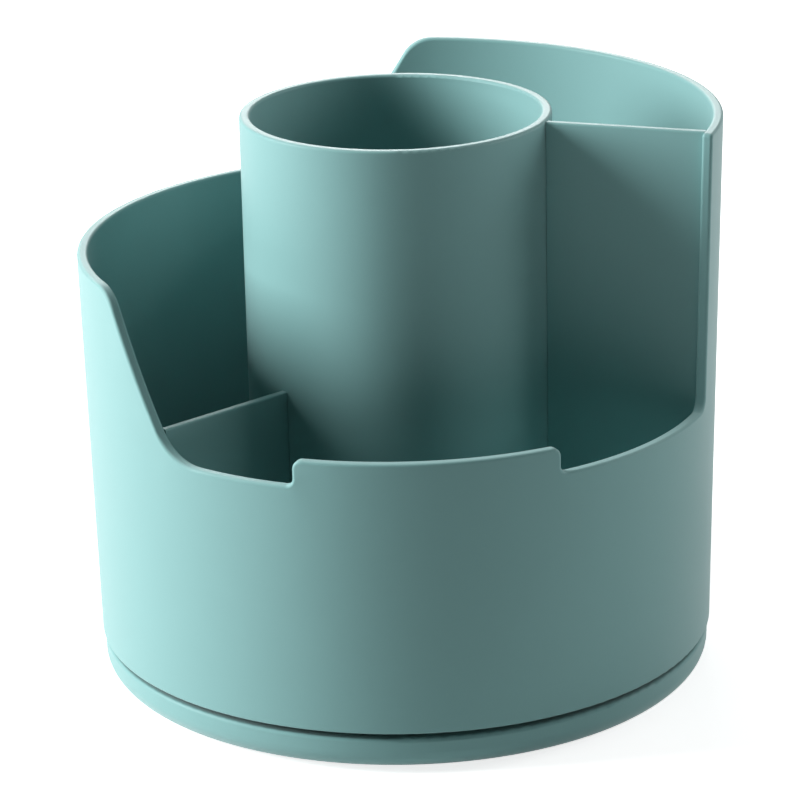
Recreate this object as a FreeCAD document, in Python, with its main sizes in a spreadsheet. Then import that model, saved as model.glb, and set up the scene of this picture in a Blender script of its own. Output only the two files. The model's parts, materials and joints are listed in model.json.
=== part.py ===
"""Rotating desk organizer: a stepped drum with a pen cup, turning on a low round base.

All lengths are millimetres and all angles degrees. Z is the turning axis and points up, and Z = 0 is
the surface that the rubber feet stand on. Angles are counter-clockwise from +X, and -Y is the front.
"""
import FreeCAD, Part
import Sketcher
import math
import os

doc = FreeCAD.newDocument("desk_organizer")

# ---------------------------------------------------------------------------------------------
# Driving dimensions
# ---------------------------------------------------------------------------------------------
DRIVING_SIZES = [
    # base
    ("foot_radius", 6.0), ("foot_height", 1.0), ("foot_recess", 1.0), ("foot_bevel", 0.4),
    ("foot_inset", 12.4), ("first_foot_angle", 45.0),
    ("pan_radius", 74.4), ("pan_height", 8.05), ("pan_floor", 2.2), ("pan_wall", 2.4),
    ("pan_lower_round", 4.5), ("pan_upper_round", 1.0), ("pan_hub_wall", 2.2), ("pan_hub_web", 2.2),
    ("hub_recess_radius", 8.0), ("hub_cover_radius", 9.2), ("hub_cover_thickness", 0.8),
    ("hub_cover_clearance", 0.2),
    # ball bearing
    ("ball_circle", 45.0), ("ball_radius", 2.0), ("ball_float", 0.02),
    ("race_pad_height", 1.6), ("race_inner_margin", 5.0), ("race_outer_margin", 10.5),
    ("race_thickness", 1.3), ("groove_depth", 0.6), ("groove_clearance", 0.15),
    ("cage_thickness", 1.8), ("cage_width", 7.2), ("pocket_clearance", 0.15),
    ("race_screw_margin", 7.0), ("race_screw_radius", 1.25), ("race_screw_head_radius", 2.25),
    ("race_screw_length", 3.8), ("screw_hole_clearance", 0.15), ("pilot_extra_depth", 0.5),
    ("lower_screw_angle", 0.0), ("upper_screw_angle", 45.0),
    # spindle
    ("spindle_radius", 3.0), ("spindle_clearance", 0.05), ("thread_radius", 2.5),
    ("bushing_wall", 1.5), ("bushing_flange_radius", 7.0), ("bushing_flange", 1.0),
    ("end_float", 0.05), ("thrust_washer_radius", 6.0), ("thrust_washer_thickness", 0.8),
    ("nut_flats", 8.0), ("nut_height", 3.2), ("thread_end", 0.1),
    ("head_washer_radius", 6.5), ("head_washer_thickness", 1.0),
    ("bolt_head_radius", 5.0), ("bolt_head_height", 2.6), ("socket_flats", 3.0), ("socket_depth", 1.5),
    ("cap_radius", 9.0), ("cap_height", 5.2), ("cap_wall", 1.0), ("cap_round", 1.6),
    # drum
    ("turning_gap", 1.45), ("drum_radius", 75.0), ("drum_wall", 2.5), ("draft_angle", 1.0),
    ("drum_floor", 2.4), ("floor_recess", 2.0), ("drum_hub_radius", 9.0), ("hub_gap", 0.35),
    ("high_rim", 126.7), ("middle_rim", 95.7), ("low_rim", 59.8), ("front_raise", 6.3),
    ("rear_step_angle", 94.5), ("left_step_angle", -142.0), ("step_slope", 58.0),
    ("step_upper_round", 9.1), ("step_lower_round", 14.0),
    ("left_notch_angle", -109.1), ("right_notch_angle", -62.1), ("tall_end_angle", -20.1),
    ("notch_upper_round", 2.2), ("notch_lower_round", 1.9), ("tall_end_lower_round", 3.2),
    ("tall_end_upper_round", 0.9), ("rim_round", 0.7), ("drum_edge_round", 0.4),
    # cup
    ("cup_radius", 37.0), ("cup_wall", 2.5), ("cup_floor", 2.4), ("cup_foot", 3.0),
    ("cup_rise", 0.4), ("cup_hub_radius", 9.0), ("cup_inner_round", 2.0),
    ("spigot_clearance", 0.15), ("spigot_wall", 2.0), ("spigot_height", 2.6),
    ("key_width", 4.0), ("key_clearance", 0.2),
    # dividers
    ("divider_thickness", 2.0), ("divider_clearance", 0.1), ("divider_top_round", 0.5),
    ("tab_inset", 3.6), ("tab_length", 10.0), ("tab_clearance", 0.1),
    ("tall_divider_angle", -18.0), ("rear_divider_angle", 102.0), ("low_divider_angle", -138.0),
]
BALL_COUNT = 16
SCREWS_PER_RACE = 4
FOOT_COUNT = 4
BEYOND = 5.0  # how far a cutting profile runs past the face that it cuts

sheet = doc.addObject("Spreadsheet::Sheet", "sizes")
for row, (alias, amount) in enumerate(DRIVING_SIZES, start=1):
    sheet.set(f"A{row}", alias)
    sheet.set(f"B{row}", str(amount))
    sheet.setAlias(f"B{row}", alias)
doc.recompute()

# Levels and radii that follow from the driving dimensions, as expressions of the sheet's cells
PAN_UNDERSIDE = "sizes.foot_height"
PAN_FLOOR_TOP = f"({PAN_UNDERSIDE} + sizes.pan_floor)"
PAN_TOP = f"({PAN_UNDERSIDE} + sizes.pan_height)"
PAN_INNER_RADIUS = "(sizes.pan_radius - sizes.pan_wall)"
FOOT_CIRCLE = "(sizes.pan_radius - sizes.foot_inset)"
RACE_INNER_RADIUS = "(sizes.ball_circle - sizes.race_inner_margin)"
RACE_OUTER_RADIUS = "(sizes.ball_circle + sizes.race_outer_margin)"
RACE_SCREW_CIRCLE = "(sizes.ball_circle + sizes.race_screw_margin)"
RACE_PAD_TOP = f"({PAN_FLOOR_TOP} + sizes.race_pad_height)"
LOWER_RACE_TOP = f"({RACE_PAD_TOP} + sizes.race_thickness)"
BALL_LEVEL = f"({LOWER_RACE_TOP} - sizes.groove_depth + sizes.ball_radius + sizes.ball_float)"
UPPER_RACE_BOTTOM = f"({BALL_LEVEL} + sizes.ball_radius + sizes.ball_float - sizes.groove_depth)"
UPPER_RACE_TOP = f"({UPPER_RACE_BOTTOM} + sizes.race_thickness)"
HUB_COVER_TOP = f"({PAN_UNDERSIDE} + sizes.hub_cover_thickness)"
THREAD_BOTTOM = f"({HUB_COVER_TOP} + sizes.hub_cover_clearance)"
NUT_BOTTOM = f"({THREAD_BOTTOM} + sizes.thread_end)"
NUT_TOP = f"({NUT_BOTTOM} + sizes.nut_height)"
SHOULDER_LEVEL = f"({NUT_TOP} + sizes.thrust_washer_thickness)"
FLANGE_UNDERSIDE = f"({SHOULDER_LEVEL} + sizes.end_float)"
WEB_UNDERSIDE = f"({FLANGE_UNDERSIDE} + sizes.bushing_flange)"
WEB_TOP = f"({WEB_UNDERSIDE} + sizes.pan_hub_web)"
BUSHING_RADIUS = "(sizes.spindle_radius + sizes.spindle_clearance + sizes.bushing_wall)"
PAN_HUB_RADIUS = "(sizes.hub_cover_radius + sizes.pan_hub_wall)"
DRUM_EDGE = f"({PAN_TOP} + sizes.turning_gap)"
FLOOR_UNDERSIDE = f"({DRUM_EDGE} + sizes.floor_recess)"
FLOOR_TOP = f"({FLOOR_UNDERSIDE} + sizes.drum_floor)"
DRUM_HUB_BOTTOM = f"({WEB_TOP} + sizes.hub_gap)"
HIGH_LEVEL = f"({DRUM_EDGE} + sizes.high_rim)"
MIDDLE_LEVEL = f"({DRUM_EDGE} + sizes.middle_rim)"
LOW_LEVEL = f"({DRUM_EDGE} + sizes.low_rim)"
RAISED_LEVEL = f"({LOW_LEVEL} + sizes.front_raise)"
CUP_INNER_RADIUS = "(sizes.cup_radius - sizes.cup_wall)"
CUP_FLOOR_UNDERSIDE = f"({FLOOR_TOP} + sizes.cup_foot)"
CUP_FLOOR_TOP = f"({CUP_FLOOR_UNDERSIDE} + sizes.cup_floor)"
CUP_TOP = f"({HIGH_LEVEL} + sizes.cup_rise)"
SPIGOT_RADIUS = f"({CUP_INNER_RADIUS} - sizes.spigot_clearance)"
BOLT_HEAD_BOTTOM = f"({CUP_FLOOR_TOP} + sizes.head_washer_thickness)"
SHANK_HOLE_RADIUS = "(sizes.spindle_radius + sizes.spindle_clearance)"
SCREW_HOLE_RADIUS = "(sizes.race_screw_radius + sizes.screw_hole_clearance)"


def drum_outer_radius(level):
    """Radius of the drum's outside at a level: it widens upwards by the draft angle."""
    return f"(sizes.drum_radius + ({level} - {DRUM_EDGE}) * tan(sizes.draft_angle))"


def drum_inner_radius(level):
    """Radius of the drum's inside at a level."""
    return f"({drum_outer_radius(level)} - sizes.drum_wall)"


TAB_OUTER_RADIUS = f"({drum_inner_radius(FLOOR_TOP)} - sizes.tab_inset)"
TAB_INNER_RADIUS = f"({TAB_OUTER_RADIUS} - sizes.tab_length)"


def size(expression):
    """Number that an expression of the sheet's cells gives now."""
    return float(doc.sizes.evalExpression(str(expression).replace("sizes.", "")))


# ---------------------------------------------------------------------------------------------
# Helpers: bodies, sketches and features
# ---------------------------------------------------------------------------------------------
def new_body(name):
    body = doc.addObject("PartDesign::Body", name)
    body.Label = name
    return body


def new_sketch(body, plane, name, turn=None, lift=None):
    """Sketch on an origin plane of the body, turned about Z or lifted along it by expressions."""
    sketch = body.newObject("Sketcher::SketchObject", f"{body.Label}_{name}")
    support = next(part for part in body.Origin.OriginFeatures if part.Role == plane)
    sketch.AttachmentSupport = (support, [""])
    sketch.MapMode = "FlatFace"
    axis = FreeCAD.Vector(0, 0, 1) if plane == "XY_Plane" else FreeCAD.Vector(0, 1, 0)
    if turn is not None:
        rotation = FreeCAD.Rotation(axis, size(turn))
        sketch.AttachmentOffset = FreeCAD.Placement(FreeCAD.Vector(), rotation)
        sketch.setExpression("AttachmentOffset.Rotation.Angle", f"({turn}) * 1 deg")
    if lift is not None:
        sketch.setExpression("AttachmentOffset.Base.z", lift)
    return sketch


def pin_point(sketch, edge, end, point):
    """Hold one end of an edge at a point given by two expressions; '0' puts it on an axis."""
    for letter, axis, expression in (("X", -2, point[0]), ("Y", -1, point[1])):
        if expression == "0":
            sketch.addConstraint(Sketcher.Constraint("PointOnObject", edge, end, axis))
            continue
        kind = f"Distance{letter}"
        index = sketch.addConstraint(Sketcher.Constraint(kind, -1, 1, edge, end, size(expression)))
        sketch.setExpression(f"Constraints[{index}]", expression)


def arc_between(start, end, radius, bulge):
    """Arc from start to end; bulge is +1 if its centre lies left of the way there, else -1."""
    chord = end - start
    half = chord.Length / 2
    across = FreeCAD.Vector(-chord.y, chord.x, 0).normalize()
    centre = (start + end) / 2 + across * (bulge * math.sqrt(radius ** 2 - half ** 2))
    middle = centre - across * (bulge * radius)
    return Part.Arc(start, middle, end)


def draw_outline(sketch, points, arcs=None):
    """Closed outline through points (pairs of expressions); arcs maps a side to (radius, bulge)."""
    arcs = arcs or {}
    places = [FreeCAD.Vector(size(x), size(y), 0) for x, y in points]
    count = len(points)
    ends = []
    for side in range(count):
        start, end = places[side], places[(side + 1) % count]
        if side in arcs:
            radius, bulge = arcs[side]
            sketch.addGeometry(arc_between(start, end, size(radius), bulge))
            # an arc always runs counter-clockwise, so its first end is the side's start or its end
            ends.append((1, 2) if bulge > 0 else (2, 1))
        else:
            sketch.addGeometry(Part.LineSegment(start, end))
            ends.append((1, 2))
    for side in range(count):
        after = (side + 1) % count
        joint = Sketcher.Constraint("Coincident", side, ends[side][1], after, ends[after][0])
        sketch.addConstraint(joint)
        pin_point(sketch, side, ends[side][0], points[side])
    for side, (radius, bulge) in arcs.items():
        index = sketch.addConstraint(Sketcher.Constraint("Radius", side, size(radius)))
        sketch.setExpression(f"Constraints[{index}]", radius)


def draw_circle(sketch, centre, radius):
    """Circle about a point given by two expressions."""
    place = FreeCAD.Vector(size(centre[0]), size(centre[1]), 0)
    edge = sketch.addGeometry(Part.Circle(place, FreeCAD.Vector(0, 0, 1), size(radius)))
    pin_point(sketch, edge, 3, centre)
    index = sketch.addConstraint(Sketcher.Constraint("Radius", edge, size(radius)))
    sketch.setExpression(f"Constraints[{index}]", radius)


def draw_hexagon(sketch, flats):
    """Hexagon about the origin, with its width across flats."""
    radius = f"({flats} / sqrt(3))"
    corners = []
    for corner in range(6):
        turn = 60 * corner
        across = "0" if turn % 180 == 0 else f"({radius} * sin({turn}))"
        corners.append((f"({radius} * cos({turn}))", across))
    draw_outline(sketch, corners)


def checked_volume(body, grows):
    """Recompute the body and make sure that its newest feature added or took material."""
    before = checked_volume.last.get(body.Label, 0.0)
    doc.recompute()
    now = body.Tip.Shape.Volume
    if (now > before) != grows:
        raise RuntimeError(f"{body.Tip.Label} changed the volume from {before:.1f} to {now:.1f}")
    checked_volume.last[body.Label] = now


checked_volume.last = {}


def revolve(body, sketch):
    feature = body.newObject("PartDesign::Revolution", f"{sketch.Label}_turned")
    feature.Profile = sketch
    feature.ReferenceAxis = (sketch, ["V_Axis"])
    feature.Angle = 360
    checked_volume(body, grows=True)
    return feature


def turned_body(name, outline, arcs=None):
    """Body turned about its own Z axis from one outline of (radius, level) points."""
    body = new_body(name)
    section = new_sketch(body, "XZ_Plane", "section")
    draw_outline(section, outline, arcs)
    revolve(body, section)
    return body


def groove(body, sketch, angle=None):
    """Cut a sketch turned about Z, all the way round or by the angle that an expression gives."""
    feature = body.newObject("PartDesign::Groove", f"{sketch.Label}_cut")
    feature.Profile = sketch
    feature.ReferenceAxis = (sketch, ["V_Axis"])
    feature.Angle = 360
    if angle is not None:
        feature.setExpression("Angle", angle)
    checked_volume(body, grows=False)
    return feature


def extrude(body, sketch, length, cuts, forward=True, both_ways=False):
    """Pad or pocket of a sketch; forward is along the sketch's own normal."""
    kind = "PartDesign::Pocket" if cuts else "PartDesign::Pad"
    feature = body.newObject(kind, f"{sketch.Label}_{'cut' if cuts else 'pad'}")
    feature.Profile = sketch
    feature.setExpression("Length", length)
    feature.Midplane = both_ways
    if not both_ways:
        feature.Reversed = forward if cuts else not forward
    checked_volume(body, grows=not cuts)
    return feature


def polar_pattern(body, feature, count):
    """Repeat a feature round the Z axis."""
    pattern = body.newObject("PartDesign::PolarPattern", f"{feature.Label}_pattern")
    pattern.Originals = [feature]
    pattern.Axis = (feature.Profile[0], ["N_Axis"])
    pattern.Angle = 360
    pattern.Occurrences = count
    body.Tip = pattern
    doc.recompute()
    checked_volume.last[body.Label] = body.Tip.Shape.Volume
    return pattern


def edge_names(shape, wanted):
    """Names of the edges that a test picks."""
    return [f"Edge{number}" for number, edge in enumerate(shape.Edges, start=1) if wanted(edge)]


def dress(body, kind, wanted, amount):
    """Fillet or chamfer the edges that a test picks by an expression."""
    base = body.Tip
    names = edge_names(base.Shape, wanted)
    if not names:
        raise RuntimeError(f"{body.Label}: no edge to {kind}")
    feature = body.newObject(f"PartDesign::{kind}", f"{body.Label}_{kind.lower()}")
    feature.Base = (base, names)
    feature.setExpression("Radius" if kind == "Fillet" else "Size", amount)
    doc.recompute()
    checked_volume.last[body.Label] = body.Tip.Shape.Volume
    return feature


def near(first, second):
    return abs(first - second) < 1e-3


def ring_edge(radius, level):
    """Test for a circle about Z with this radius at this level."""
    wanted_radius, wanted_level = size(radius), size(level)

    def wanted(edge):
        curve = edge.Curve
        if not isinstance(curve, Part.Circle):
            return False
        about_axis = math.hypot(curve.Center.x, curve.Center.y) < 1e-3
        return about_axis and near(curve.Radius, wanted_radius) and near(curve.Center.z, wanted_level)
    return wanted


def hole_edge(circle, radius, level):
    """Test for the rim of a hole that stands on a circle about Z."""
    wanted_circle, wanted_radius, wanted_level = size(circle), size(radius), size(level)

    def wanted(edge):
        curve = edge.Curve
        if not isinstance(curve, Part.Circle) or not near(curve.Radius, wanted_radius):
            return False
        offset = math.hypot(curve.Center.x, curve.Center.y)
        return near(offset, wanted_circle) and near(curve.Center.z, wanted_level)
    return wanted


def washer(name, inner, outer, bottom, thickness):
    top = f"({bottom} + {thickness})"
    return turned_body(name, [(inner, bottom), (outer, bottom), (outer, top), (inner, top)])


# ---------------------------------------------------------------------------------------------
# Base
# ---------------------------------------------------------------------------------------------
def base_pan():
    """Dish with a rounded lower edge, a pad under the bearing and a hub round the spindle."""
    body = turned_body("base_pan", [
        (BUSHING_RADIUS, WEB_UNDERSIDE), ("sizes.hub_recess_radius", WEB_UNDERSIDE),
        ("sizes.hub_recess_radius", HUB_COVER_TOP), ("sizes.hub_cover_radius", HUB_COVER_TOP),
        ("sizes.hub_cover_radius", PAN_UNDERSIDE), ("sizes.pan_radius", PAN_UNDERSIDE),
        ("sizes.pan_radius", PAN_TOP), (PAN_INNER_RADIUS, PAN_TOP),
        (PAN_INNER_RADIUS, PAN_FLOOR_TOP), (RACE_OUTER_RADIUS, PAN_FLOOR_TOP),
        (RACE_OUTER_RADIUS, RACE_PAD_TOP), (RACE_INNER_RADIUS, RACE_PAD_TOP),
        (RACE_INNER_RADIUS, PAN_FLOOR_TOP),
        (PAN_HUB_RADIUS, PAN_FLOOR_TOP), (PAN_HUB_RADIUS, WEB_TOP), (BUSHING_RADIUS, WEB_TOP)])
    foot_sketch = new_sketch(body, "XY_Plane", "foot_recess", "sizes.first_foot_angle", PAN_UNDERSIDE)
    draw_circle(foot_sketch, (FOOT_CIRCLE, "0"), "sizes.foot_radius")
    polar_pattern(body, extrude(body, foot_sketch, "sizes.foot_recess", cuts=True), FOOT_COUNT)
    pilot_holes(body, "sizes.lower_screw_angle", RACE_PAD_TOP, up=False)
    dress(body, "Fillet", ring_edge("sizes.pan_radius", PAN_UNDERSIDE), "sizes.pan_lower_round")
    inner_round = "(sizes.pan_lower_round - sizes.pan_wall)"
    dress(body, "Fillet", ring_edge(PAN_INNER_RADIUS, PAN_FLOOR_TOP), inner_round)
    dress(body, "Fillet", ring_edge("sizes.pan_radius", PAN_TOP), "sizes.pan_upper_round")
    return body


def pilot_holes(body, angle, level, up):
    """Blind holes for the screws of one race, drilled up or down from a level."""
    sketch = new_sketch(body, "XY_Plane", "pilot", angle, level)
    draw_circle(sketch, (RACE_SCREW_CIRCLE, "0"), "sizes.race_screw_radius")
    depth = "(sizes.race_screw_length - sizes.race_thickness + sizes.pilot_extra_depth)"
    polar_pattern(body, extrude(body, sketch, depth, cuts=True, forward=up), SCREWS_PER_RACE)


def race(name, bottom, angle, groove_on_top):
    """Steel ring with a ball groove and countersunk screw holes on the face towards the balls."""
    top = f"({bottom} + sizes.race_thickness)"
    face = top if groove_on_top else bottom
    body = washer(name, RACE_INNER_RADIUS, RACE_OUTER_RADIUS, bottom, "sizes.race_thickness")
    groove_radius = "(sizes.ball_radius + sizes.groove_clearance)"
    towards_balls = "+" if groove_on_top else "-"
    centre = f"({face} {towards_balls} ({groove_radius} - sizes.groove_depth))"
    track = new_sketch(body, "XZ_Plane", "track")
    draw_circle(track, ("sizes.ball_circle", centre), groove_radius)
    groove(body, track)
    holes = new_sketch(body, "XY_Plane", "hole", angle, bottom)
    draw_circle(holes, (RACE_SCREW_CIRCLE, "0"), SCREW_HOLE_RADIUS)
    polar_pattern(body, extrude(body, holes, "sizes.race_thickness", cuts=True), SCREWS_PER_RACE)
    dress(body, "Chamfer", hole_edge(RACE_SCREW_CIRCLE, SCREW_HOLE_RADIUS, face),
          "(sizes.race_screw_head_radius - sizes.race_screw_radius)")
    return body


def race_screws(name, angle, face, points_up):
    """Group of countersunk screws, heads flush with the face of a race."""
    sign = "+" if points_up else "-"
    neck = f"({face} {sign} (sizes.race_screw_head_radius - sizes.race_screw_radius))"
    tip = f"({face} {sign} sizes.race_screw_length)"
    screws = []
    for number in range(SCREWS_PER_RACE):
        screw = new_body(f"{name}_{number + 1}")
        section = new_sketch(screw, "XZ_Plane", "section")
        draw_outline(section, [("0", face), ("sizes.race_screw_head_radius", face),
                               ("sizes.race_screw_radius", neck), ("sizes.race_screw_radius", tip),
                               ("0", tip)])
        revolve(screw, section)
        turn = f"({angle} + {number * 360 / SCREWS_PER_RACE})"
        screw.setExpression("Placement.Base.x", f"{RACE_SCREW_CIRCLE} * cos({turn})")
        screw.setExpression("Placement.Base.y", f"{RACE_SCREW_CIRCLE} * sin({turn})")
        screws.append(screw)
    group = doc.addObject("Part::Compound", name)
    group.Label = name
    group.Links = screws
    return group


def spindle_bushing():
    """Flanged sleeve in the pan's hub; the flange is on the underside, where the washer runs."""
    return turned_body("spindle_bushing", [
        (SHANK_HOLE_RADIUS, FLANGE_UNDERSIDE), ("sizes.bushing_flange_radius", FLANGE_UNDERSIDE),
        ("sizes.bushing_flange_radius", WEB_UNDERSIDE), (BUSHING_RADIUS, WEB_UNDERSIDE),
        (BUSHING_RADIUS, WEB_TOP), (SHANK_HOLE_RADIUS, WEB_TOP)])


def hub_cover():
    """Disc that closes the pan's hub from below."""
    return turned_body("hub_cover", [
        ("0", PAN_UNDERSIDE), ("sizes.hub_cover_radius", PAN_UNDERSIDE),
        ("sizes.hub_cover_radius", HUB_COVER_TOP), ("0", HUB_COVER_TOP)])


def rubber_foot(number):
    """Foot in its recess, with a small bevel where it meets the desk."""
    top = f"({PAN_UNDERSIDE} + sizes.foot_recess)"
    tread = "(sizes.foot_radius - sizes.foot_bevel)"
    foot = turned_body(f"rubber_foot_{number + 1}", [
        ("0", "0"), (tread, "0"), ("sizes.foot_radius", "sizes.foot_bevel"),
        ("sizes.foot_radius", top), ("0", top)])
    turn = f"(sizes.first_foot_angle + {number * 360 / FOOT_COUNT})"
    foot.setExpression("Placement.Base.x", f"{FOOT_CIRCLE} * cos({turn})")
    foot.setExpression("Placement.Base.y", f"{FOOT_CIRCLE} * sin({turn})")
    return foot


# ---------------------------------------------------------------------------------------------
# Ball ring
# ---------------------------------------------------------------------------------------------
def ball_cage():
    """Flat ring with one pocket for each ball."""
    inner = "(sizes.ball_circle - sizes.cage_width / 2)"
    outer = "(sizes.ball_circle + sizes.cage_width / 2)"
    bottom = f"({BALL_LEVEL} - sizes.cage_thickness / 2)"
    body = washer("ball_cage", inner, outer, bottom, "sizes.cage_thickness")
    pocket = new_sketch(body, "XY_Plane", "pocket", lift=bottom)
    draw_circle(pocket, ("sizes.ball_circle", "0"), "(sizes.ball_radius + sizes.pocket_clearance)")
    polar_pattern(body, extrude(body, pocket, "sizes.cage_thickness", cuts=True), BALL_COUNT)
    return body


def bearing_balls():
    """Group of steel balls, one in each pocket of the cage."""
    balls = []
    for number in range(BALL_COUNT):
        ball = doc.addObject("Part::Sphere", f"bearing_ball_{number + 1}")
        ball.setExpression("Radius", "sizes.ball_radius")
        turn = number * 360 / BALL_COUNT
        ball.setExpression("Placement.Base.x", f"sizes.ball_circle * cos({turn})")
        ball.setExpression("Placement.Base.y", f"sizes.ball_circle * sin({turn})")
        ball.setExpression("Placement.Base.z", BALL_LEVEL)
        balls.append(ball)
    group = doc.addObject("Part::Compound", "bearing_balls")
    group.Label = "bearing_balls"
    group.Links = balls
    return group


# ---------------------------------------------------------------------------------------------
# Spindle
# ---------------------------------------------------------------------------------------------
def spindle_bolt():
    """Shoulder bolt: head in the cup, shank through drum and bushing, thread in the pan's hub."""
    head_top = f"({BOLT_HEAD_BOTTOM} + sizes.bolt_head_height)"
    body = turned_body("spindle_bolt", [
        ("0", THREAD_BOTTOM), ("sizes.thread_radius", THREAD_BOTTOM),
        ("sizes.thread_radius", SHOULDER_LEVEL), ("sizes.spindle_radius", SHOULDER_LEVEL),
        ("sizes.spindle_radius", BOLT_HEAD_BOTTOM), ("sizes.bolt_head_radius", BOLT_HEAD_BOTTOM),
        ("sizes.bolt_head_radius", head_top), ("0", head_top)])
    socket = new_sketch(body, "XY_Plane", "socket", lift=head_top)
    draw_hexagon(socket, "sizes.socket_flats")
    extrude(body, socket, "sizes.socket_depth", cuts=True, forward=False)
    return body


def lock_nut():
    """Hexagon nut on the bolt's thread."""
    body = new_body("lock_nut")
    outline = new_sketch(body, "XY_Plane", "outline", lift=NUT_BOTTOM)
    draw_hexagon(outline, "sizes.nut_flats")
    extrude(body, outline, "sizes.nut_height", cuts=False)
    bore = new_sketch(body, "XY_Plane", "bore", lift=NUT_BOTTOM)
    draw_circle(bore, ("0", "0"), "sizes.thread_radius")
    extrude(body, bore, "sizes.nut_height", cuts=True)
    return body


def spindle_cap():
    """Round cap that hides the bolt head on the cup's floor."""
    cap_top = f"({CUP_FLOOR_TOP} + sizes.cap_height)"
    inner = "(sizes.cap_radius - sizes.cap_wall)"
    body = turned_body("spindle_cap", [
        ("sizes.cap_radius", CUP_FLOOR_TOP), ("sizes.cap_radius", cap_top), ("0", cap_top),
        ("0", f"({cap_top} - sizes.cap_wall)"), (inner, f"({cap_top} - sizes.cap_wall)"),
        (inner, CUP_FLOOR_TOP)])
    dress(body, "Fillet", ring_edge("sizes.cap_radius", cap_top), "sizes.cap_round")
    return body


# ---------------------------------------------------------------------------------------------
# Drum
# ---------------------------------------------------------------------------------------------
def step_run(upper, lower):
    """Length along the wall of a sloped step between two rim levels."""
    rounds = "(sizes.step_upper_round + sizes.step_lower_round)"
    straight = f"({upper} - {lower} - {rounds} * (1 - cos(sizes.step_slope)))"
    return f"({rounds} * sin(sizes.step_slope) + {straight} / tan(sizes.step_slope))"


def step_reach(upper, lower):
    """Angle from the middle of a sloped step to just past its end, seen from the axis."""
    past_end = f"({step_run(upper, lower)} / 2 + {BEYOND / 2})"
    return f"(asin({past_end} / {drum_outer_radius(upper)}) / 1 deg)"


def cut_rim_sector(body, name, level, start, end):
    """Take the wall away above a level, from one angle counter-clockwise to another."""
    sketch = new_sketch(body, "XZ_Plane", name, turn=start)
    inside = f"({drum_inner_radius(FLOOR_TOP)} - {BEYOND})"
    outside = f"({drum_outer_radius(HIGH_LEVEL)} + {BEYOND})"
    above = f"({HIGH_LEVEL} + {BEYOND})"
    draw_outline(sketch, [(inside, level), (outside, level), (outside, above), (inside, above)])
    groove(body, sketch, f"({end}) - ({start})")


def cut_rim_step(body, name, upper, lower, angle):
    """Cut the rim along a slope with rounded ends; it falls counter-clockwise about its angle."""
    sketch = new_sketch(body, "XZ_Plane", name, turn=f"({angle} + 90)")
    begin = f"(-{step_run(upper, lower)} / 2)"
    finish = f"({step_run(upper, lower)} / 2)"
    beyond = f"({finish} + {BEYOND})"
    above = f"({HIGH_LEVEL} + {BEYOND})"
    slope_top = (f"({begin} + sizes.step_upper_round * sin(sizes.step_slope))",
                 f"({upper} - sizes.step_upper_round * (1 - cos(sizes.step_slope)))")
    slope_bottom = (f"({finish} - sizes.step_lower_round * sin(sizes.step_slope))",
                    f"({lower} + sizes.step_lower_round * (1 - cos(sizes.step_slope)))")
    draw_outline(sketch, [
        (begin, upper), slope_top, slope_bottom, (finish, lower), (beyond, lower), (beyond, above),
        (begin, above)],
        arcs={0: ("sizes.step_upper_round", -1), 2: ("sizes.step_lower_round", 1)})
    extrude(body, sketch, drum_outer_radius(f"({above})"), cuts=True)


def radial_edge(angle, level):
    """Test for a straight edge that runs through the wall at an angle and a level."""
    wanted_angle, wanted_level = size(angle), size(level)

    def wanted(edge):
        if not isinstance(edge.Curve, Part.Line):
            return False
        first, last = (vertex.Point for vertex in edge.Vertexes)
        if not (near(first.z, wanted_level) and near(last.z, wanted_level)):
            return False
        turn = math.degrees(math.atan2(first.y + last.y, first.x + last.x))
        return abs(turn - wanted_angle) < 0.05
    return wanted


def rim_edges(body):
    """Test for the long edges of the rim: one side on the drum's wall, above the floor."""
    floor_top = size(FLOOR_TOP)
    high = size(HIGH_LEVEL)
    draft = math.radians(size("sizes.draft_angle"))

    def wall_offset(point):
        grown = (point.z - size(DRUM_EDGE)) * math.tan(draft)
        return math.hypot(point.x, point.y) - size("sizes.drum_radius") - grown

    def wanted(edge):
        middle = edge.valueAt((edge.FirstParameter + edge.LastParameter) / 2)
        points = [vertex.Point for vertex in edge.Vertexes] + [middle]
        if min(point.z for point in points) < floor_top + 1 or edge.Length < 0.01:
            return False
        outside = all(abs(wall_offset(point)) < 0.01 for point in points)
        inside = all(abs(wall_offset(point) + size("sizes.drum_wall")) < 0.01 for point in points)
        return (outside or inside) and max(point.z for point in points) < high + 0.01
    return wanted


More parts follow.
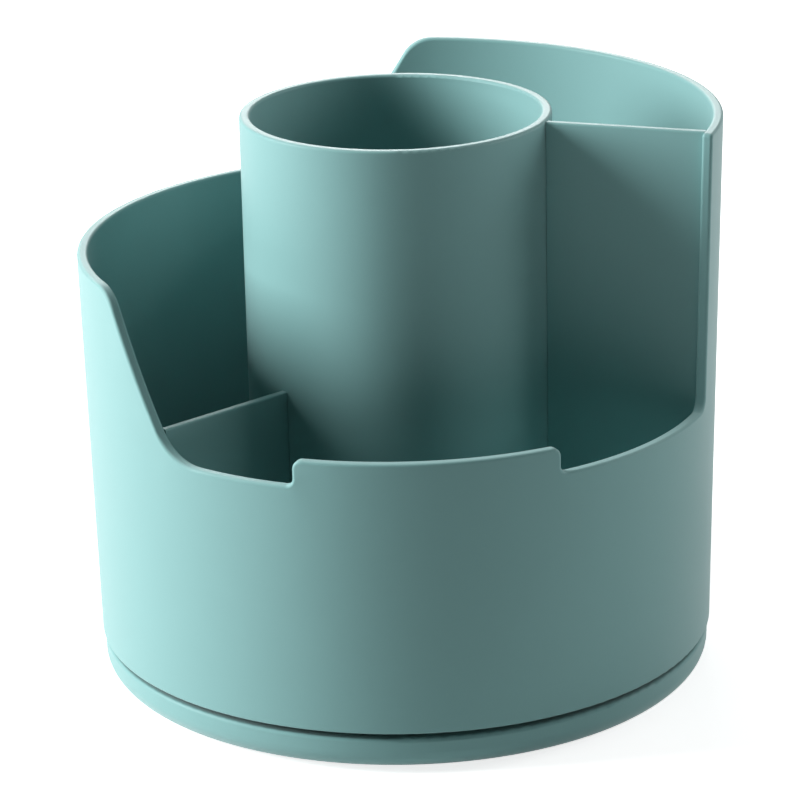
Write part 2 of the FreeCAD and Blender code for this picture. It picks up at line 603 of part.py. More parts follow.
def drum_shell():
    """Tapered wall with a stepped rim, floor, spigot for the cup, seat for the race and hub."""
    seat_bottom = UPPER_RACE_TOP
    spigot_inner = f"({SPIGOT_RADIUS} - sizes.spigot_wall)"
    spigot_top = f"({FLOOR_TOP} + sizes.spigot_height)"
    body = turned_body("drum_shell", [
        (SHANK_HOLE_RADIUS, DRUM_HUB_BOTTOM), ("sizes.drum_hub_radius", DRUM_HUB_BOTTOM),
        ("sizes.drum_hub_radius", FLOOR_UNDERSIDE), (RACE_INNER_RADIUS, FLOOR_UNDERSIDE),
        (RACE_INNER_RADIUS, seat_bottom), (RACE_OUTER_RADIUS, seat_bottom),
        (RACE_OUTER_RADIUS, FLOOR_UNDERSIDE),
        (drum_inner_radius(FLOOR_UNDERSIDE), FLOOR_UNDERSIDE),
        (drum_inner_radius(DRUM_EDGE), DRUM_EDGE), ("sizes.drum_radius", DRUM_EDGE),
        (drum_outer_radius(HIGH_LEVEL), HIGH_LEVEL), (drum_inner_radius(HIGH_LEVEL), HIGH_LEVEL),
        (drum_inner_radius(FLOOR_TOP), FLOOR_TOP), (SPIGOT_RADIUS, FLOOR_TOP),
        (SPIGOT_RADIUS, spigot_top), (spigot_inner, spigot_top), (spigot_inner, FLOOR_TOP),
        (SHANK_HOLE_RADIUS, FLOOR_TOP)])

    rear_step, left_step = "sizes.rear_step_angle", "sizes.left_step_angle"
    rear_end = f"({rear_step} + {step_reach(HIGH_LEVEL, MIDDLE_LEVEL)})"
    left_end = f"({left_step} + {step_reach(MIDDLE_LEVEL, LOW_LEVEL)})"
    cut_rim_sector(body, "middle_sector", MIDDLE_LEVEL, rear_end, f"({left_step} + 360)")
    cut_rim_step(body, "rear_step", HIGH_LEVEL, MIDDLE_LEVEL, rear_step)
    cut_rim_sector(body, "front_sector", RAISED_LEVEL, "sizes.left_notch_angle",
                   "sizes.right_notch_angle")
    cut_rim_sector(body, "left_low_sector", LOW_LEVEL, left_end, "sizes.left_notch_angle")
    cut_rim_step(body, "left_step", MIDDLE_LEVEL, LOW_LEVEL, left_step)
    cut_rim_sector(body, "right_low_sector", LOW_LEVEL, "sizes.right_notch_angle",
                   "sizes.tall_end_angle")

    for angle in ("sizes.left_notch_angle", "sizes.right_notch_angle"):
        dress(body, "Fillet", radial_edge(angle, RAISED_LEVEL), "sizes.notch_upper_round")
        dress(body, "Fillet", radial_edge(angle, LOW_LEVEL), "sizes.notch_lower_round")
    dress(body, "Fillet", radial_edge("sizes.tall_end_angle", LOW_LEVEL), "sizes.tall_end_lower_round")
    dress(body, "Fillet", radial_edge("sizes.tall_end_angle", HIGH_LEVEL), "sizes.tall_end_upper_round")
    dress(body, "Fillet", rim_edges(body), "sizes.rim_round")
    dress(body, "Fillet", ring_edge("sizes.drum_radius", DRUM_EDGE), "sizes.drum_edge_round")

    pilot_holes(body, "sizes.upper_screw_angle", seat_bottom, up=True)
    for name in ("tall", "rear", "low"):
        divider_slot(body, name, f"sizes.{name}_divider_angle")
    key_gap = new_sketch(body, "XY_Plane", "key_gap", lift=FLOOR_TOP)
    half = "(sizes.key_width / 2)"
    far = f"({SPIGOT_RADIUS} + sizes.spigot_clearance / 2)"
    close = f"({spigot_inner} - sizes.spigot_clearance)"
    draw_outline(key_gap, [(f"(-{half})", close), (half, close), (half, far), (f"(-{half})", far)])
    extrude(body, key_gap, "sizes.spigot_height", cuts=True)
    return body


def divider_slot(body, name, angle):
    """Slot through the floor for a divider's tab."""
    slot = new_sketch(body, "XY_Plane", f"{name}_slot", angle, FLOOR_UNDERSIDE)
    half = "(sizes.divider_thickness / 2 + sizes.tab_clearance)"
    inner = f"({TAB_INNER_RADIUS} - sizes.tab_clearance)"
    outer = f"({TAB_OUTER_RADIUS} + sizes.tab_clearance)"
    draw_outline(slot, [(inner, f"(-{half})"), (outer, f"(-{half})"), (outer, half), (inner, half)])
    extrude(body, slot, "sizes.drum_floor", cuts=True)


def divider(name, angle, top, meets_rim=False):
    """Upright panel from the cup to the drum's wall, with a tab through the floor.

    Where the panel is as tall as the rim, its outer top corner follows the rim's round.
    """
    body = new_body(name)
    outline = new_sketch(body, "XZ_Plane", "outline")
    inner = "(sizes.cup_radius + sizes.divider_clearance)"
    outer_low = f"({drum_inner_radius(FLOOR_TOP)} - sizes.divider_clearance)"
    points = [(inner, FLOOR_TOP), (TAB_INNER_RADIUS, FLOOR_TOP), (TAB_INNER_RADIUS, FLOOR_UNDERSIDE),
              (TAB_OUTER_RADIUS, FLOOR_UNDERSIDE), (TAB_OUTER_RADIUS, FLOOR_TOP),
              (outer_low, FLOOR_TOP)]
    arcs = {}
    if meets_rim:
        below = f"({top} - sizes.rim_round)"
        radius = "(sizes.rim_round + sizes.divider_clearance)"
        reach = f"sqrt({radius} ^ 2 - sizes.rim_round ^ 2)"
        arcs[len(points)] = (radius, -1)
        points += [(f"({drum_inner_radius(below)} - sizes.divider_clearance)", below),
                   (f"({drum_inner_radius(below)} + sizes.rim_round - {reach})", top)]
    else:
        points.append((f"({drum_inner_radius(top)} - sizes.divider_clearance)", top))
    points.append((inner, top))
    draw_outline(outline, points, arcs)
    extrude(body, outline, "sizes.divider_thickness", cuts=False, both_ways=True)
    top_level = size(top)

    def long_top_edge(edge):
        on_top = all(near(vertex.Point.z, top_level) for vertex in edge.Vertexes)
        return on_top and edge.Length > 2 * size("sizes.divider_thickness")
    dress(body, "Fillet", long_top_edge, "sizes.divider_top_round")
    body.Placement = FreeCAD.Placement(FreeCAD.Vector(), FreeCAD.Rotation(FreeCAD.Vector(0, 0, 1), 1))
    body.setExpression("Placement.Rotation.Angle", f"({angle}) * 1 deg")
    return body


def centre_cup():
    """Pen cup on the drum's floor; its foot fits over the drum's spigot, its hub takes the bolt."""
    body = turned_body("centre_cup", [
        (SHANK_HOLE_RADIUS, FLOOR_TOP), ("sizes.cup_hub_radius", FLOOR_TOP),
        ("sizes.cup_hub_radius", CUP_FLOOR_UNDERSIDE), (CUP_INNER_RADIUS, CUP_FLOOR_UNDERSIDE),
        (CUP_INNER_RADIUS, FLOOR_TOP), ("sizes.cup_radius", FLOOR_TOP),
        ("sizes.cup_radius", CUP_TOP), (CUP_INNER_RADIUS, CUP_TOP),
        (CUP_INNER_RADIUS, CUP_FLOOR_TOP), (SHANK_HOLE_RADIUS, CUP_FLOOR_TOP)])
    for radius in ("sizes.cup_radius", CUP_INNER_RADIUS):
        dress(body, "Fillet", ring_edge(radius, CUP_TOP), "sizes.rim_round")
    dress(body, "Fillet", ring_edge(CUP_INNER_RADIUS, CUP_FLOOR_TOP), "sizes.cup_inner_round")
    key = new_sketch(body, "XY_Plane", "key", lift=CUP_FLOOR_UNDERSIDE)
    half = "(sizes.key_width / 2 - sizes.key_clearance)"
    tip = f"({SPIGOT_RADIUS} - sizes.spigot_wall)"
    root = f"({CUP_INNER_RADIUS} + sizes.cup_wall / 2)"
    draw_outline(key, [(f"(-{half})", tip), (half, tip), (half, root), (f"(-{half})", root)])
    extrude(body, key, "sizes.spigot_height", cuts=False, forward=False)
    return body


# ---------------------------------------------------------------------------------------------
# Build, check and write
# ---------------------------------------------------------------------------------------------
pieces = [
    base_pan(),
    race("lower_race", RACE_PAD_TOP, "sizes.lower_screw_angle", groove_on_top=True),
    race_screws("lower_race_screws", "sizes.lower_screw_angle", LOWER_RACE_TOP, points_up=False),
    spindle_bushing(),
    hub_cover(),
    ball_cage(),
    bearing_balls(),
    race("upper_race", UPPER_RACE_BOTTOM, "sizes.upper_screw_angle", groove_on_top=False),
    race_screws("upper_race_screws", "sizes.upper_screw_angle", UPPER_RACE_BOTTOM, points_up=True),
    spindle_bolt(),
    washer("spindle_head_washer", SHANK_HOLE_RADIUS, "sizes.head_washer_radius", CUP_FLOOR_TOP,
           "sizes.head_washer_thickness"),
    spindle_cap(),
    washer("thrust_washer", "sizes.thread_radius", "sizes.thrust_washer_radius", NUT_TOP,
           "sizes.thrust_washer_thickness"),
    lock_nut(),
    drum_shell(),
    centre_cup(),
    divider("tall_divider", "sizes.tall_divider_angle", HIGH_LEVEL, meets_rim=True),
    divider("rear_divider", "sizes.rear_divider_angle", MIDDLE_LEVEL),
    divider("low_divider", "sizes.low_divider_angle", RAISED_LEVEL),
]
pieces += [rubber_foot(number) for number in range(FOOT_COUNT)]
doc.recompute()

for thing in doc.Objects:
    if "Invalid" in thing.State or "Error" in thing.State:
        raise RuntimeError(f"{thing.Label} failed: {thing.State}")
for piece in pieces:
    if piece.Shape.isNull() or not piece.Shape.isValid():
        raise RuntimeError(f"{piece.Label} has no valid shape")

os.makedirs("parts", exist_ok=True)
for piece in pieces:
    piece.Shape.exportStep(f"parts/{piece.Label}.step")
    box = piece.Shape.BoundBox
    print(f"{piece.Label}: {len(piece.Shape.Solids)} solid(s), z {box.ZMin:.2f} to {box.ZMax:.2f}")
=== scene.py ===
# %% [markdown]
# # A desk organizer that turns on its base
#
# The object is moulded from one matt, sage-teal plastic: a drum with a stepped rim, a pen cup in the
# middle, panels between cup and drum, and a low round base. The pieces could be modelled again here, but
# the construction model already has each of them at its real size. So this script keeps their shapes,
# gives each piece its finish, then adds the floor, the lamps and the camera. The frame is loaded first,
# because everything else takes its place from it.

import json
import math

import bmesh
import bpy
from mathutils import Matrix, Vector

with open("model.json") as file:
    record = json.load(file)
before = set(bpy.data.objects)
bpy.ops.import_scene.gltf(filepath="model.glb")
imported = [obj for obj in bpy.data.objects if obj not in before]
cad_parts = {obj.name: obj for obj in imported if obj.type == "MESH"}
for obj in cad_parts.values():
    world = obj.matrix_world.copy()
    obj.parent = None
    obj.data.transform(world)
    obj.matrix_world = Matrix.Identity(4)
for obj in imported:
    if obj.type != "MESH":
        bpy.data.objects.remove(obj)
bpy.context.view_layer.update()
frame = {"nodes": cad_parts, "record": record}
print("pieces in the frame:", len(frame["nodes"]))

# %% [markdown]
# ## Shader maths as plain expressions
#
# A shader is a graph of nodes, and wiring it by hand hides what it computes. `Number` wraps one output
# socket, so that `1 - mask` or `grain * 0.3` adds the Math node that does it. Node groups could do the
# same, but they would have to be built first, and an expression can be read in one line.


# %% Wrap sockets so that shader maths reads as maths
class Number:
    """A value that the shader works out at each point of a surface."""

    def __init__(self, finish, socket):
        self.finish = finish
        self.socket = socket

    def _math(self, operation, *values):
        made = self.finish.node("ShaderNodeMath", {"operation": operation}, dict(enumerate(values)))
        return Number(self.finish, made.outputs[0])

    def __add__(self, other):
        return self._math("ADD", self, other)

    def __sub__(self, other):
        return self._math("SUBTRACT", self, other)

    def __rsub__(self, other):
        return self._math("SUBTRACT", other, self)

    def __mul__(self, other):
        return self._math("MULTIPLY", self, other)

    def __pow__(self, other):
        return self._math("POWER", self, other)

    def __abs__(self):
        return self._math("ABSOLUTE", self)

    __radd__ = __add__
    __rmul__ = __mul__

    def rise(self, low, high):
        """0 up to low, 1 from high on, and a soft step between them; it falls where high is below low."""
        return self.finish.number("ShaderNodeMapRange", {"interpolation_type": "SMOOTHSTEP"}, {
            "Value": self, "From Min": low, "From Max": high}, "Result")


print("shader maths ready:", Number.__name__)

# %% [markdown]
# ## One object for each finish
#
# `Finish` holds the node tree of one material and makes any other node from its type, its settings and
# its inputs. The nodes could be made and linked one by one in each material, but a few named methods,
# such as `place`, `noise` and `mixed`, keep the recipes short and say what they are for.


# %% Hold the node tree of one material
class Finish:
    """The node tree of one material, with its Principled shader."""

    def __init__(self, name, owner=None):
        self.material = owner or bpy.data.materials.new(name)
        self.material.use_nodes = True
        self.tree = self.material.node_tree
        self.shader = self.tree.nodes.get("Principled BSDF")

    def node(self, kind, settings=None, inputs=None):
        """A new node: its settings are set first, then its inputs are set or linked."""
        made = self.tree.nodes.new(kind)
        for name, setting in (settings or {}).items():
            setattr(made, name, setting)
        for key, value in (inputs or {}).items():
            self.feed(made.inputs[key], value)
        return made

    def number(self, kind, settings, inputs, output):
        """One output of a new node, wrapped for shader maths."""
        return Number(self, self.node(kind, settings, inputs).outputs[output])

    def feed(self, socket, value):
        """Link a wrapped or bare socket, or set a plain value."""
        if isinstance(value, Number):
            self.tree.links.new(value.socket, socket)
        elif isinstance(value, bpy.types.NodeSocket):
            self.tree.links.new(value, socket)
        else:
            socket.default_value = value

    def place(self):
        """Object coordinates, which stay on the piece when it moves."""
        return self.node("ShaderNodeTexCoord").outputs["Object"]

    def parts(self, vector):
        """The x, y and z of a vector as three numbers."""
        split = self.node("ShaderNodeSeparateXYZ", inputs={"Vector": vector})
        return [Number(self, split.outputs[axis]) for axis in "XYZ"]

    def facing_up(self):
        """1 where the surface looks straight up, 0 where it is upright, -1 where it looks down."""
        return self.parts(self.node("ShaderNodeTexCoord").outputs["Normal"])[2]

    def noise(self, size, detail=2.0):
        """Soft random blotches about as wide as size, in metres, from 0 to 1 and mostly near the middle."""
        return self.number("ShaderNodeTexNoise", {}, {
            "Vector": self.place(), "Scale": 1.0 / size, "Detail": detail}, "Fac")

    def scaled(self, colour, amount):
        """Colour times a value, so that 1 leaves it as it is and 0 makes it black."""
        made = self.node("ShaderNodeVectorMath", {"operation": "SCALE"}, {
            "Vector": colour[:3], "Scale": amount})
        return made.outputs["Vector"]

    def mixed(self, amount, first, second):
        """First colour where amount is 0, second where it is 1."""
        made = self.node("ShaderNodeMix", {"data_type": "RGBA"})
        colour_sockets = (made.inputs[0], made.inputs[6], made.inputs[7])
        for socket, value in zip(colour_sockets, (amount, first, second)):
            self.feed(socket, value)
        return made.outputs[2]

    def relief(self, height):
        """Surface normal of a relief whose height is in metres."""
        return self.node("ShaderNodeBump", inputs={"Height": height, "Distance": 1.0}).outputs["Normal"]

    def set(self, **values):
        """Set or link the shader's inputs; an underscore stands for a space in a socket's name."""
        for name, value in values.items():
            self.feed(self.shader.inputs[name.replace("_", " ")], value)


print("node recipes ready:", Finish.__name__)

# %% [markdown]
# ## Levels of floor, seam and rims
#
# Painted highlight, dust and painted shade keep to certain places: a lighter colour on the rims stands in
# for the light they catch, dust lies on the compartment floors, and a darker colour in the seam on which
# the drum turns stands in for its shadow. Their heights could be typed in, but they would be wrong as soon
# as the model changed. So they are measured on the pieces: the cup stands on the drum's floor, and the base
# and the drum's foot face each other across the seam, out at the base's edge. The rim's height changes
# round the drum, so it is looked up in sectors.

# %% Measure the seam and the floor
EDGE_SHARE = 0.95


def corner_points(name):
    """Corner points of a piece, in metres."""
    node = frame["nodes"][name]
    return [node.matrix_world @ vertex.co for vertex in node.data.vertices]


def heights(name, beyond=0.0):
    """Heights of those corner points of a piece that lie further than beyond from the turning axis."""
    return [point.z for point in corner_points(name) if math.hypot(point.x, point.y) > beyond]


BASE_RADIUS = max(math.hypot(point.x, point.y) for point in corner_points("base_pan"))
BASE_TOP = max(heights("base_pan", beyond=EDGE_SHARE * BASE_RADIUS))
DRUM_EDGE = min(heights("drum_shell", beyond=EDGE_SHARE * BASE_RADIUS))
FLOOR_TOP = min(heights("centre_cup"))
for name, level in (("base top", BASE_TOP), ("drum edge", DRUM_EDGE), ("drum floor", FLOOR_TOP)):
    print(name, "in mm:", round(level * 1000.0, 2))

# %% Find the lowest stretch of the rim
SECTORS = 24


def rim_heights(name):
    """Height of a piece's rim in each of the sectors round the turning axis."""
    rim = {}
    for point in corner_points(name):
        sector = round(math.atan2(point.y, point.x) / math.tau * SECTORS)
        rim[sector] = max(rim.get(sector, 0.0), point.z)
    return rim.values()


LOWEST_RIM = min(rim_heights("drum_shell"))
print("lowest rim in mm:", round(LOWEST_RIM * 1000.0, 2))

# %% [markdown]
# ## Marks of the ejector pins
#
# Four pins push the drum out of its mould and leave faint, round, sunken marks on its floor. They could be
# cut into the shape, but they are only some hundredths of a millimetre deep, so a mask that lowers the
# surface in the shader is enough. Mirrored distances put one mark in each quarter.

# %% Round marks on the drum's floor
FLOOR_BLUR = 0.0005
PIN_PLACE = 0.040
PIN_RADIUS = 0.003
PIN_EDGE = 0.00015
PIN_DEPTH = 0.00006


def pin_marks(finish):
    """1 inside the four round marks on the drum's floor, 0 elsewhere."""
    x, y, level = finish.parts(finish.place())
    across = abs(x) - PIN_PLACE
    along = abs(y) - PIN_PLACE
    distance = (across * across + along * along) ** 0.5
    inside = distance.rise(PIN_RADIUS + PIN_EDGE, PIN_RADIUS)
    return inside * level.rise(FLOOR_TOP + 2.0 * FLOOR_BLUR, FLOOR_TOP + FLOOR_BLUR)


print("pin marks in mm: radius", PIN_RADIUS * 1000.0, "and depth", round(PIN_DEPTH * 1000.0, 3))

# %% [markdown]
# ## Matt moulded plastic
#
# Drum, cup, panels and base come out of a steel mould whose walls are spark-eroded, which leaves a fine,
# soft grain on the plastic and makes it matt. On a bigger scale the melt flows and cools unevenly, so
# tone and gloss drift a little over some centimetres. Hands and pens rub the rims a bit smoother, and the
# rim tops get a painted highlight, a lighter colour that stands in for the light they catch. A little dust
# settles on the compartment floors, and the seam on which the drum turns gets painted shade, a darker
# colour that stands in for the shadow in the gap. Painted pictures could hold all this, but they need
# unwrapped pieces and blur close up. Noise and masks on Object coordinates need neither, and they stay on
# the piece when the drum turns.

# %% Colours of the plastics
SAGE_TEAL = (0.208, 0.424, 0.420, 1.0)
# The pale tones are mixed in for the painted highlight on the rims and for the dust on the floors.
HIGHLIGHT_AND_DUST_TEAL = (0.360, 0.620, 0.610, 1.0)
NATURAL_NYLON = (0.80, 0.80, 0.75, 1.0)
HIGHLIGHT_AND_DUST_NYLON = (0.86, 0.86, 0.82, 1.0)
print("teal as written:", SAGE_TEAL[:3])

# %% Grain and flow of the melt
NOISE_MIDDLE = 0.5
MOULD_GRAIN = 0.00035
GRAIN_DEPTH = 0.00001
GRAIN_TINT = 0.03
FLOW_WIDTH = 0.020
FLOW_TINT = 0.04
FLOW_HAZE = 0.08
PLASTIC_SHEEN = 0.25
SHEEN_SPREAD = 0.6
print("grain in mm:", MOULD_GRAIN * 1000.0, "and flow in mm:", FLOW_WIDTH * 1000.0)

# %% Where the painted highlight, dust and painted shade lie
UPWARD_FACES = (0.45, 0.95)
RIM_BLUR = 0.005
# The next value lightens the rims' colour as a painted highlight; the one after makes them smoother.
RIM_HIGHLIGHT_PALE = 0.45
RUB_SMOOTH = 0.03
DUST_WIDTH = 0.004
DUST_PALE = 0.20
DUST_HAZE = 0.12
# These values set painted shade: a darker colour on the base's top inside the gap, leaving its outer edge
# unshaded.
SHADE_FREE_EDGE = 0.0005
SEAM_RADIUS = BASE_RADIUS - SHADE_FREE_EDGE
SEAM_BLUR = 0.0003
SEAM_SHADE_STARTS = 0.0012
SEAM_SHADE_IS_FULL = 0.0002
SEAM_SHADE_DARK = 0.50
print("gap under the drum in mm:", round((DRUM_EDGE - BASE_TOP) * 1000.0, 2))


# %% Mould both plastics
def moulded_plastic(name, colour, pale, roughness, gloss):
    """Matt plastic with grain, uneven flow, smoother rims, dusty floors, a painted rim highlight and painted
    seam shade.
    """
    finish = Finish(name)
    grain = finish.noise(MOULD_GRAIN, detail=1.0)
    flow = finish.noise(FLOW_WIDTH) - NOISE_MIDDLE
    x, y, level = finish.parts(finish.place())
    from_axis = (x * x + y * y) ** 0.5
    upward = finish.facing_up().rise(*UPWARD_FACES)
    # Rims: a painted highlight, a lighter colour for the light they catch, and less roughness from rubbing.
    rim_highlight_and_rub = upward * level.rise(LOWEST_RIM - 2.0 * RIM_BLUR, LOWEST_RIM - RIM_BLUR)
    above_floor = level.rise(FLOOR_TOP - 2.0 * FLOOR_BLUR, FLOOR_TOP - FLOOR_BLUR)
    dusty = (upward - rim_highlight_and_rub) * above_floor * finish.noise(DUST_WIDTH)
    # Seam: painted shade, a darker colour on the base's upward faces inside the gap where the drum's shadow
    # falls.
    seam = level.rise(BASE_TOP - SEAM_SHADE_STARTS, BASE_TOP - SEAM_SHADE_IS_FULL) * level.rise(DRUM_EDGE, BASE_TOP)
    painted_seam_shade = upward * seam * from_axis.rise(SEAM_RADIUS + SEAM_BLUR, SEAM_RADIUS - SEAM_BLUR)
    # The tone holds the random grain and flow, and the painted shade in the seam.
    tone = 1.0 + flow * FLOW_TINT + (grain - NOISE_MIDDLE) * GRAIN_TINT - painted_seam_shade * SEAM_SHADE_DARK
    # The pale tone is mixed in for the painted rim highlight and for the dust on the floors.
    highlight_and_dust = rim_highlight_and_rub * RIM_HIGHLIGHT_PALE + dusty * DUST_PALE
    finish.set(Base_Color=finish.mixed(highlight_and_dust, finish.scaled(colour, tone), pale),
               Roughness=roughness + flow * FLOW_HAZE - rim_highlight_and_rub * RUB_SMOOTH + dusty * DUST_HAZE,
               Specular_IOR_Level=gloss, Sheen_Weight=PLASTIC_SHEEN, Sheen_Roughness=SHEEN_SPREAD,
               Normal=finish.relief(grain * GRAIN_DEPTH - pin_marks(finish) * PIN_DEPTH))
    return finish.material


plastic = moulded_plastic("sage teal plastic", SAGE_TEAL, HIGHLIGHT_AND_DUST_TEAL, roughness=0.46, gloss=0.18)
nylon = moulded_plastic("natural nylon", NATURAL_NYLON, HIGHLIGHT_AND_DUST_NYLON, roughness=0.50, gloss=0.45)
print("plastics made:", plastic.name, "and", nylon.name)

# %% [markdown]
# ## Plated and polished steel
#
# The races of the bearing are turned on a lathe, which leaves fine rings round their axis, and then
# zinc-plated, which gives a cloudy, slightly uneven shine. The bolt, nut and screws are plated in the same
# bath. The balls are ground and polished, so they have only a faint haze. Grooves as fine as these would
# need far too many faces, so the rings come from a Wave texture round the turning axis. That suits the
# races, which are centred on it. The Wave texture draws 20 rings on each 2 pi of its scaled length.

# %% Lathe rings and zinc clouds
ZINC_GREY = (0.62, 0.63, 0.64, 1.0)
BALL_GREY = (0.75, 0.76, 0.77, 1.0)
CLOUD_WIDTH = 0.0012
CLOUD_TINT = 0.12
CLOUD_HAZE = 0.14
LATHE_STEP = 0.00025
LATHE_WOBBLE = 0.4
WAVE_BANDS = math.tau / 20.0


def steel(name, colour, roughness, ring_depth):
    """Metal with a cloudy shine and rings of the given depth, in metres, round the turning axis."""
    finish = Finish(name)
    clouds = finish.noise(CLOUD_WIDTH) - NOISE_MIDDLE
    rings = finish.number("ShaderNodeTexWave", {"wave_type": "RINGS", "rings_direction": "Z"}, {
        "Vector": finish.place(), "Scale": WAVE_BANDS / LATHE_STEP, "Distortion": LATHE_WOBBLE}, "Fac")
    finish.set(Base_Color=finish.scaled(colour, 1.0 + clouds * CLOUD_TINT), Metallic=1.0,
               Roughness=roughness + clouds * CLOUD_HAZE, Normal=finish.relief(rings * ring_depth))
    return finish.material


zinc = steel("zinc plated steel", ZINC_GREY, roughness=0.34, ring_depth=0.000004)
polished = steel("polished steel", BALL_GREY, roughness=0.12, ring_depth=0.0000002)
print("metals made:", zinc.name, "and", polished.name)

# %% [markdown]
# ## Rubber feet
#
# The feet are cut from black rubber with a fine, crumbly skin. Their treads stand on the desk, so they
# pick up a grey film of dust, while their sides stay black. The tread could have a material of its own,
# but a mask from the direction that the surface faces finds it, with a soft border and no second material.

# %% Crumbly skin and a dusty tread
RUBBER_BLACK = (0.030, 0.030, 0.030, 1.0)
TREAD_GREY = (0.085, 0.083, 0.080, 1.0)
RUBBER_ROUGHNESS = 0.78
CRUMB_WIDTH = 0.0006
CRUMB_DEPTH = 0.00002
CRUMB_TINT = 0.4
DOWNWARD_FACES = (-0.7, -0.95)
DUSTY_CRUMBS = (0.35, 0.65)


def foot_rubber(name):
    """Black rubber whose downward faces are dusty."""
    finish = Finish(name)
    crumbs = finish.noise(CRUMB_WIDTH)
    tread = finish.facing_up().rise(*DOWNWARD_FACES) * crumbs.rise(*DUSTY_CRUMBS)
    skin = finish.scaled(RUBBER_BLACK, 1.0 + (crumbs - NOISE_MIDDLE) * CRUMB_TINT)
    finish.set(Base_Color=finish.mixed(tread, skin, TREAD_GREY),
               Roughness=RUBBER_ROUGHNESS + tread * DUST_HAZE,
               Normal=finish.relief(crumbs * CRUMB_DEPTH))
    return finish.material


rubber = foot_rubber("black rubber")
print("rubber made:", rubber.name)

# %% [markdown]
# ## Give every piece its finish
#
# The record names the material slot of each piece. Each piece could be named here with its material, but
# a table from slot to material is shorter and keeps that choice in one place.

# %% Hand out the finishes
BY_SLOT = {"drum_plastic": plastic, "base_plastic": plastic, "white_nylon": nylon, "race_steel": zinc,
           "screw_steel": zinc, "ball_steel": polished, "foot_rubber": rubber}
for subpart in frame["record"]["subparts"]:
    node = frame["nodes"][subpart["node"]]
    node.data.materials.clear()
    node.data.materials.append(BY_SLOT[subpart["material_slot"]])

# %% [markdown]
# ## What a thing shows and what it sheds
#
# Floor and backdrop have to look white. More light could make them so, but it would bleach the object.
# Instead they show white only where a ray of the picture or of a mirrored image meets them, and shed
# little light on the object. The Light Path node tells these rays from the rest.


# %% Tell rays that look from rays that light
def seen_directly(finish):
    """1 for rays that show a thing itself, in the picture or mirrored in gloss; 0 for light that it sheds."""
    path = finish.node("ShaderNodeLightPath")
    camera_ray, glossy_ray, clear_ray = (Number(finish, path.outputs[name]) for name in (
        "Is Camera Ray", "Is Glossy Ray", "Is Transmission Ray"))
    return camera_ray + glossy_ray + clear_ray


WHITE = (1.0, 1.0, 1.0, 1.0)
print("white that is shown:", WHITE[:3])

# %% [markdown]
# ## A pale floor
#
# The object stands on a wide, plain disc. A large plane would do as well, but a disc has no corner that
# could show. It keeps a soft shadow: close to the object it shows a little less than white and leaves the
# rest to the lamps, which the object blocks. Its white is only shown, so it isn't sampled as a lamp.

# %% Disc under the object
FLOOR_RADIUS = 3.0
FLOOR_SIDES = 96
floor_mesh = bpy.data.meshes.new("floor")
disc = bmesh.new()
bmesh.ops.create_circle(disc, cap_ends=True, segments=FLOOR_SIDES, radius=FLOOR_RADIUS)
disc.to_mesh(floor_mesh)
disc.free()
floor = bpy.data.objects.new("floor", floor_mesh)
bpy.context.collection.objects.link(floor)
print("floor radius in m:", FLOOR_RADIUS)

# %% Pale finish that keeps the shadow
FLOOR_GREY = (0.75, 0.75, 0.75, 1.0)
SHADED_WHITE = 0.78
SHADOW_REACH = (0.20, 0.75)
paper = Finish("pale floor")
from_middle = paper.number("ShaderNodeVectorMath", {"operation": "LENGTH"}, {0: paper.place()}, "Value")
whiteness = SHADED_WHITE + (1.0 - SHADED_WHITE) * from_middle.rise(*SHADOW_REACH)
paper.set(Base_Color=FLOOR_GREY, Roughness=1.0, Specular_IOR_Level=0.0,
          Emission_Color=paper.scaled(WHITE, whiteness * seen_directly(paper)), Emission_Strength=1.0)
paper.material.cycles.emission_sampling = "NONE"
floor_mesh.materials.append(paper.material)
print("shadow is kept to a distance in m of:", SHADOW_REACH[1])

# %% [markdown]
# ## Studio air
#
# The world looks white behind the object and in its gloss, but lights it only faintly. A bright world
# would be the simplest light of all, but it fills every hollow. The lamps are to shape the drum, and the
# insides of the compartments are to stay deep. Like the floor, the world isn't sampled as a lamp.

# %% World
SKY_LIGHT = 0.02
world = bpy.data.worlds.new("studio")
bpy.context.scene.world = world
world.use_nodes = True
world.cycles.sampling_method = "NONE"
sky = Finish("sky", world)
background = sky.tree.nodes["Background"]
sky.feed(background.inputs["Color"], sky.scaled(WHITE, SKY_LIGHT + (1.0 - SKY_LIGHT) * seen_directly(sky)))
print("world light:", SKY_LIGHT)

# %% [markdown]
# ## Softboxes
#
# A tall softbox at the left is the main light: it gives the drum and the cup a bright side that fades
# round to the front. Weaker ones stand at the right, behind and above. They keep the far side readable
# and draw pale lines along the rims. Sun or spot lamps would cast hard shadows into the compartments,
# while the wide face of an area lamp softens them. Each one is placed by its direction from the object.


# %% Lamps
LAMP_DISTANCE = 1.2
LIT_HEIGHT = 0.07


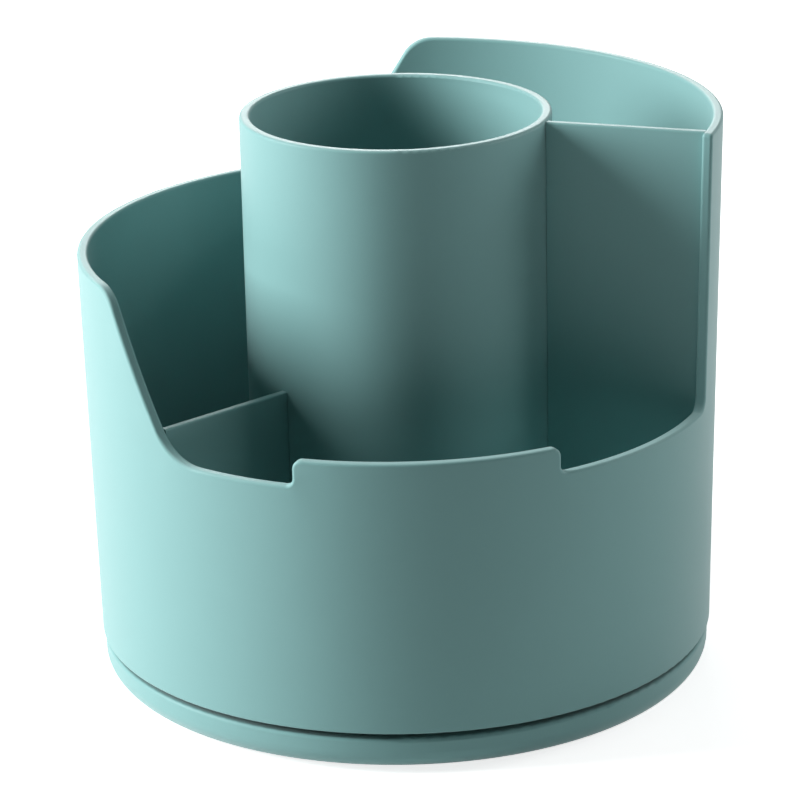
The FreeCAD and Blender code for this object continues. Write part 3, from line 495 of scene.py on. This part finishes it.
def softbox(name, azimuth, elevation, size, power):
    """Rectangular lamp that looks at the object: angles in degrees, sides in metres, power in watts."""
    lamp = bpy.data.lights.new(name, "AREA")
    lamp.shape = "RECTANGLE"
    lamp.size, lamp.size_y = size
    lamp.energy = power
    holder = bpy.data.objects.new(name, lamp)
    turn, rise = math.radians(azimuth), math.radians(elevation)
    away = Vector((math.cos(turn) * math.cos(rise), math.sin(turn) * math.cos(rise), math.sin(rise)))
    holder.location = Vector((0.0, 0.0, LIT_HEIGHT)) + away * LAMP_DISTANCE
    holder.rotation_euler = away.to_track_quat("Z", "Y").to_euler()
    bpy.context.collection.objects.link(holder)
    print("softbox", name, "at azimuth", azimuth, "with", power, "W")


softbox("key", azimuth=182.6, elevation=22.0, size=(0.46, 0.66), power=23.4)
softbox("top", azimuth=0.0, elevation=90.0, size=(0.50, 0.50), power=1.2)
softbox("back", azimuth=90.0, elevation=20.0, size=(0.40, 0.40), power=3.0)
softbox("fill", azimuth=6.0, elevation=19.0, size=(0.60, 0.60), power=5.2)

# %% [markdown]
# ## Camera
#
# The camera looks down at the front from about 87 cm, as a person at the desk does, through a long lens
# that keeps the drum's sides nearly parallel. A Track To constraint could aim it, but it would lose the
# small roll that is part of this view, so its turns are written out: yaw, tilt, then roll.

# %% Camera
CAMERA_BACK = 0.7972
CAMERA_HEIGHT = 0.3450
CAMERA_TILT = 0.3377
CAMERA_ROLL = -0.0217
CAMERA_YAW = 0.0005
FOCAL_PIXELS = 3474.9
PICTURE_WIDTH = 800
SENSOR_WIDTH = 36.0
camera_data = bpy.data.cameras.new("camera")
camera_data.sensor_width = SENSOR_WIDTH
camera_data.lens = FOCAL_PIXELS / PICTURE_WIDTH * SENSOR_WIDTH
camera = bpy.data.objects.new("camera", camera_data)
look = (Matrix.Rotation(CAMERA_YAW, 4, "Z") @ Matrix.Rotation(math.pi / 2 - CAMERA_TILT, 4, "X")
        @ Matrix.Rotation(CAMERA_ROLL, 4, "Z"))
camera.matrix_world = Matrix.Translation((0.0, -CAMERA_BACK, CAMERA_HEIGHT)) @ look
bpy.context.collection.objects.link(camera)
bpy.context.scene.camera = camera
bpy.context.scene.view_settings.view_transform = "Standard"
print("lens in mm:", round(camera_data.lens, 1))
